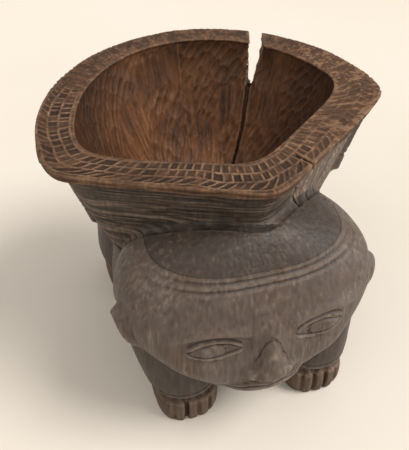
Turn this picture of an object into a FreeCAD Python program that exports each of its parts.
import FreeCAD, Part
import math
import os

# A bowl carried on the back of a squat figure on all fours, carved from one block of wood. The solids are the
# regions of that block. They meet face to face along its natural creases.
#
# Frame: millimetres, +Z up, the head looks along -Y, +X is the figure's left side. The origin is under the
# middle of the box, on the surface that the feet stand on. The bowl's axis passes through it.

# ---------------------------------------------------------------- driving dimensions
RIM_TOP = 246.0
LIP_THICKNESS = 8.0
LIP_BOTTOM = RIM_TOP - LIP_THICKNESS
WALL_BOTTOM = 165.0
BOWL_BOTTOM = 120.0
HALF_LENGTH = 147.0
FAR = 400.0

# Each bowl outline is a rounded shield: an oval whose front is cut by two flat sides that meet in a corner. A
# facet is the angle that it faces, in degrees from straight ahead towards +X, and its distance from the axis.
OUTLINE_STEPS = 48
OUTER = {
    "half_width": 141.0,
    "back": HALF_LENGTH,
    "front": 150.0,
    "facets": ((-23.0, 89.0), (36.0, 86.5)),
    "sharpness": 16,
}
INNER = {
    "half_width": 110.0,
    "back": 124.0,
    "front": 120.0,
    "facets": ((-20.0, 58.0), (38.0, 54.5)),
    "sharpness": 8,
}

# Heights, and the outline's scale at each.
RIM_LEVELS = ((LIP_BOTTOM, 1.0), (RIM_TOP, 1.0))
WALL_LEVELS = ((BOWL_BOTTOM, 0.60), (140.0, 0.665), (WALL_BOTTOM, 0.74), (205.0, 0.845), (LIP_BOTTOM, 0.935))
CAVITY_LEVELS = (
    (133.0, 0.30),
    (137.0, 0.46),
    (150.0, 0.62),
    (175.0, 0.78),
    (208.0, 0.92),
    (RIM_TOP + 1, 1.0),
)

# The open split in the back wall: a slot that narrows downwards. Its place is on the rim's outer edge, and its
# sides run in a direction turned from straight back towards +X.
SPLIT_X = 74.0
SPLIT_Y = 126.0
SPLIT_FACING = 18.0
SPLIT_WIDTH = 10.5
SPLIT_TIP = 2.0
SPLIT_DEPTH = 38.0
SPLIT_LEAN = -4.0
SPLIT_INWARDS = 60.0
SPLIT_OUTWARDS = 30.0

# A lug is a fin on each side of the bowl, proud of the wall at its lower end. The left one stands further back,
# behind the left facet's end.
LUG_TOP = LIP_BOTTOM
LUG_BOTTOM = 172.0
LUG_TOP_X = 130.0
LUG_BOTTOM_X = 110.0
LUG_WIDTH = 14.0
LEFT_LUG_FRONT = -5.0
RIGHT_LUG_FRONT = -14.0

# Ovals are (height, middle x, middle y, half width, half length).
BODY_OVALS = (
    (58.0, 0.0, 24.0, 58.0, 60.0),
    (70.0, 0.0, 24.0, 76.0, 76.0),
    (96.0, 0.0, 19.0, 86.0, 80.0),
    (BOWL_BOTTOM, 0.0, 14.0, 83.0, 73.0),
)
HEM = 33.0
FRONT_LEG_OVALS = (
    (HEM, 67.0, -74.0, 32.0, 36.0),
    (60.0, 69.0, -65.0, 35.0, 41.0),
    (105.0, 69.0, -48.0, 38.0, 44.0),
    (155.0, 60.0, -22.0, 34.0, 38.0),
)
REAR_LEG_OVALS = (
    (HEM, 67.0, 88.0, 32.0, 36.0),
    (60.0, 66.0, 85.0, 34.0, 39.0),
    (105.0, 60.0, 72.0, 34.0, 38.0),
    (145.0, 50.0, 54.0, 30.0, 32.0),
)

# Feet, each with five toes parted by notches in its front edge. A level is (height, half width, half length).
FOOT_X = 66.0
FRONT_FOOT_Y = -76.0
REAR_FOOT_Y = 86.0
FOOT_LEVELS = ((0.0, 27.0, 34.0), (12.0, 29.5, 37.0), (24.0, 29.0, 36.0), (HEM, 26.0, 33.0))
TOES = 5
TOE_PITCH = 10.8
TOE_NOTCH_LENGTH = 15.0
TOE_NOTCH_WIDTH = 3.6

# The figure's right front foot stands further in and further back than its left one.
EVEN_STANCE = (0.0, 0.0)
RIGHT_FRONT_STANCE = (-13.0, 5.0)

# The head is laid out on plain rules. Its heights are fractions of the bowl's height, and its width is three
# quarters of the rim's. The brow line and the nose's base part the face in thirds from the hairline to the
# chin, an eye is a fifth of the face's width, and the eyes are one eye apart, at half the head's height.
HEAD_TOP = RIM_TOP * 5 / 6
HAIRLINE = RIM_TOP * 3 / 4
CHIN = RIM_TOP / 5
FACE_WIDTH = 2 * OUTER["half_width"] * 3 / 4
THIRD = (HAIRLINE - CHIN) / 3
BROW_LINE = HAIRLINE - THIRD
NOSE_BASE = CHIN + THIRD
MOUTH_LINE = CHIN + THIRD * 2 / 3
EYE_LINE = (HEAD_TOP + CHIN) / 2
EYE_WIDTH = FACE_WIDTH / 5

# The head is one egg with its wide end up. It leans back until its top meets the bowl's wall. Its blunt ends
# are a share of its height, a lift above 1 raises its widest level, and a lower fullness makes it rounder.
EGG_BLUNT = 0.04
EGG_LIFT = 1.3
EGG_FULLNESS = 0.6
HEAD_DEPTH = 120.0
HEAD_LEAN = 40.0
CHIN_MIDDLE = -94.0
HEAD_STEPS = 7
CROWN_STEPS = 3
HEAD_POWER = 2.4

# Rounded masses are a middle and half sizes along X, Y and Z. The nose's tip is the object's foremost point.
NOSE_TIP = -HALF_LENGTH
EYE = ((EYE_WIDTH, NOSE_TIP + 25.5, EYE_LINE), (EYE_WIDTH / 2, 13.0, EYE_WIDTH / 4))
MOUTH = ((0.0, NOSE_TIP + 20.0, MOUTH_LINE), (34.0, 12.0, 8.5))
DOME_STEPS = (-0.98, -0.85, -0.5, 0.0, 0.5, 0.85, 0.98)
NOSE_OVALS = (
    (NOSE_BASE, 0.0, NOSE_TIP + 15, EYE_WIDTH / 2, 15.0),
    (NOSE_BASE + 14, 0.0, NOSE_TIP + 18, 15.0, 15.0),
    (BROW_LINE, 0.0, NOSE_TIP + 24, 8.0, 9.0),
)


# ---------------------------------------------------------------- outlines and lofts
def closed_curve(points):
    """A wire of one smooth closed curve through the points."""
    curve = Part.BSplineCurve()
    curve.interpolate(points, PeriodicFlag=True)
    return Part.Wire([curve.toShape()])


def turn_steps(count):
    """Angles that divide a full turn evenly."""
    return [2 * math.pi * step / count for step in range(count)]


def shield_radius(shield, angle):
    """Distance from the bowl's axis to a shield outline, at an angle from straight ahead."""
    reach = shield["front"] if math.cos(angle) > 0 else shield["back"]
    power = shield["sharpness"]
    total = math.hypot(math.sin(angle) / shield["half_width"], math.cos(angle) / reach) ** power
    for facing, distance in shield["facets"]:
        slope = math.cos(angle - math.radians(facing))
        if slope > 0:
            total += (slope / distance) ** power
    return total ** (-1 / power)


def shield_loft(shield, levels):
    """A solid through shield outlines at the given heights and scales."""
    wires = []
    for height, scale in levels:
        points = []
        for angle in turn_steps(OUTLINE_STEPS):
            radius = scale * shield_radius(shield, angle)
            points.append(FreeCAD.Vector(radius * math.sin(angle), -radius * math.cos(angle), height))
        wires.append(closed_curve(points))
    return Part.makeLoft(wires, True)


def power_oval(middle_x, middle_y, half_width, half_length, height, power):
    """A closed curve between an ellipse, power 2, and a rectangle, large power."""
    points = []
    for angle in turn_steps(OUTLINE_STEPS // 2):
        sine, cosine = math.sin(angle), math.cos(angle)
        radius = (abs(sine) ** power + abs(cosine) ** power) ** (-1 / power)
        x = middle_x + half_width * radius * sine
        y = middle_y - half_length * radius * cosine
        points.append(FreeCAD.Vector(x, y, height))
    return closed_curve(points)


def oval_loft(ovals, power=2.4):
    """A solid through ovals, each (height, middle x, middle y, half width, half length)."""
    return Part.makeLoft([power_oval(x, y, a, b, z, power) for z, x, y, a, b in ovals], True)


def dome(middle, half):
    """A rounded mass: ovals that shrink towards its top and bottom."""
    x, y, z = middle
    half_width, half_length, half_height = half
    ovals = []
    for step in DOME_STEPS:
        shrink = math.sqrt(1 - step * step)
        ovals.append((z + step * half_height, x, y, half_width * shrink, half_length * shrink))
    return oval_loft(ovals, 2.0)


def slab(low, high):
    """Everything between two heights."""
    return Part.makeBox(FAR, FAR, high - low, FreeCAD.Vector(-FAR / 2, -FAR / 2, low))


def mirrored(shape):
    """The same shape on the figure's other side."""
    return shape.mirror(FreeCAD.Vector(0, 0, 0), FreeCAD.Vector(1, 0, 0))


# ---------------------------------------------------------------- the bowl
def split_slot():
    """The slot that is open in the back wall."""
    corners = (
        (-SPLIT_WIDTH / 2, RIM_TOP + 1),
        (SPLIT_WIDTH / 2, RIM_TOP + 1),
        (SPLIT_LEAN + SPLIT_TIP / 2, RIM_TOP - SPLIT_DEPTH),
        (SPLIT_LEAN - SPLIT_TIP / 2, RIM_TOP - SPLIT_DEPTH),
        (-SPLIT_WIDTH / 2, RIM_TOP + 1),
    )
    outline = Part.makePolygon([FreeCAD.Vector(x, -SPLIT_INWARDS, z) for x, z in corners])
    slot = Part.Face(outline).extrude(FreeCAD.Vector(0, SPLIT_INWARDS + SPLIT_OUTWARDS, 0))
    slot.rotate(FreeCAD.Vector(0, 0, 0), FreeCAD.Vector(0, 0, 1), -SPLIT_FACING)
    slot.translate(FreeCAD.Vector(SPLIT_X, SPLIT_Y, 0))
    return slot


def bowl_regions(outside):
    """The rim band, the wall under it and the floor, around one cavity."""
    hollow = shield_loft(INNER, CAVITY_LEVELS)
    split = split_slot()
    shell = outside.cut(hollow)
    return {
        "rim_band": shield_loft(OUTER, RIM_LEVELS).cut(hollow).cut(split),
        "bowl_wall": shell.common(slab(WALL_BOTTOM, LIP_BOTTOM)).cut(split),
        "bowl_floor": shell.common(slab(BOWL_BOTTOM, WALL_BOTTOM)),
    }


def lug_blank(front):
    """A fin on the figure's left with its front at a given Y, before it is cut back to the bowl's outside."""
    corners = (
        (0.0, LUG_TOP),
        (LUG_TOP_X, LUG_TOP),
        (LUG_BOTTOM_X, LUG_BOTTOM),
        (0.0, LUG_BOTTOM),
        (0.0, LUG_TOP),
    )
    outline = Part.makePolygon([FreeCAD.Vector(x, front, z) for x, z in corners])
    return Part.Face(outline).extrude(FreeCAD.Vector(0, LUG_WIDTH, 0))


# ---------------------------------------------------------------- the figure
def foot(middle_x, middle_y):
    """A foot on the figure's left, with notches between its toes."""
    shape = oval_loft([(z, middle_x, middle_y, a, b) for z, a, b in FOOT_LEVELS], 2.8)
    front = middle_y - FOOT_LEVELS[1][2]
    for gap in range(TOES - 1):
        x = middle_x + (gap - (TOES - 2) / 2) * TOE_PITCH
        corners = (
            (x - TOE_NOTCH_WIDTH / 2, front - 1),
            (x + TOE_NOTCH_WIDTH / 2, front - 1),
            (x, front + TOE_NOTCH_LENGTH),
            (x - TOE_NOTCH_WIDTH / 2, front - 1),
        )
        outline = Part.makePolygon([FreeCAD.Vector(px, py, 0) for px, py in corners])
        shape = shape.cut(Part.Face(outline).extrude(FreeCAD.Vector(0, 0, HEM)))
    return shape


def leg(ovals, stance):
    """A leg on the figure's left, leaning towards where its foot stands."""
    top = ovals[-1][0]
    leaning = []
    for height, x, y, half_width, half_length in ovals:
        share = (top - height) / (top - HEM)
        leaning.append((height, x + stance[0] * share, y + stance[1] * share, half_width, half_length))
    return oval_loft(leaning)


def egg_share(rise):
    """The egg's width as a share of its widest, from 0 at its foot to 1 at its top."""
    return math.sin(math.pi * (EGG_BLUNT + (1 - 2 * EGG_BLUNT) * rise) ** EGG_LIFT) ** EGG_FULLNESS


def head_mass(low, high, steps):
    """The egg's mass between two heights, before its features."""
    ovals = []
    for step in range(steps + 1):
        height = low + (high - low) * step / steps
        rise = (height - CHIN) / (HEAD_TOP - CHIN)
        share = egg_share(rise)
        half_length = HEAD_DEPTH / 2 * math.sqrt(share)
        ovals.append((height, 0.0, CHIN_MIDDLE + HEAD_LEAN * rise, share * FACE_WIDTH / 2, half_length))
    return oval_loft(ovals, HEAD_POWER)


def head_regions(outside, body, block, crown):
    """The head, its crown and its features, in front of the bowl."""
    eye = dome(*EYE).cut(block)
    return {
        "head": block.cut([outside, body]),
        "crown": crown.cut(outside),
        "nose": oval_loft(NOSE_OVALS, 2.2).cut(block),
        "mouth": dome(*MOUTH).cut(block),
        "eye_left": eye,
        "eye_right": mirrored(eye),
    }


def limb_regions(place, leg_ovals, foot_y, right_stance, neighbours):
    """A leg, cut back to what it grows from, and a foot, on both sides."""
    left_leg = leg(leg_ovals, EVEN_STANCE)
    right_leg = mirrored(leg(leg_ovals, right_stance))
    right_foot = foot(FOOT_X + right_stance[0], foot_y + right_stance[1])
    return {
        place + "_leg_left": left_leg.cut(neighbours),
        place + "_leg_right": right_leg.cut(neighbours),
        place + "_foot_left": foot(FOOT_X, foot_y),
        place + "_foot_right": mirrored(right_foot),
    }


def largest_solid(shape):
    """The shape's main solid, without slivers that a cut left behind."""
    return max(shape.Solids, key=lambda solid: solid.Volume)


def main():
    outside = shield_loft(OUTER, WALL_LEVELS)
    body = oval_loft(BODY_OVALS)
    block = head_mass(CHIN, HAIRLINE, HEAD_STEPS)
    crown = head_mass(HAIRLINE, HEAD_TOP, CROWN_STEPS)
    regions = bowl_regions(outside)
    regions["lug_left"] = lug_blank(LEFT_LUG_FRONT).cut(outside)
    regions["lug_right"] = mirrored(lug_blank(RIGHT_LUG_FRONT)).cut(outside)
    regions["body"] = body
    regions.update(head_regions(outside, body, block, crown))
    front_neighbours = [outside, body, block]
    regions.update(limb_regions("front", FRONT_LEG_OVALS, FRONT_FOOT_Y, RIGHT_FRONT_STANCE, front_neighbours))
    regions.update(limb_regions("rear", REAR_LEG_OVALS, REAR_FOOT_Y, EVEN_STANCE, [outside, body]))
    os.makedirs("parts", exist_ok=True)
    for node, shape in regions.items():
        solid = largest_solid(shape)
        solid.exportStep("parts/" + node + ".step")
        box = solid.optimalBoundingBox()
        low = [round(value, 1) for value in (box.XMin, box.YMin, box.ZMin)]
        high = [round(value, 1) for value in (box.XMax, box.YMax, box.ZMax)]
        print(node, len(shape.Solids), solid.isValid(), round(solid.Volume / 1000, 1), "cm3", low, high)


main()
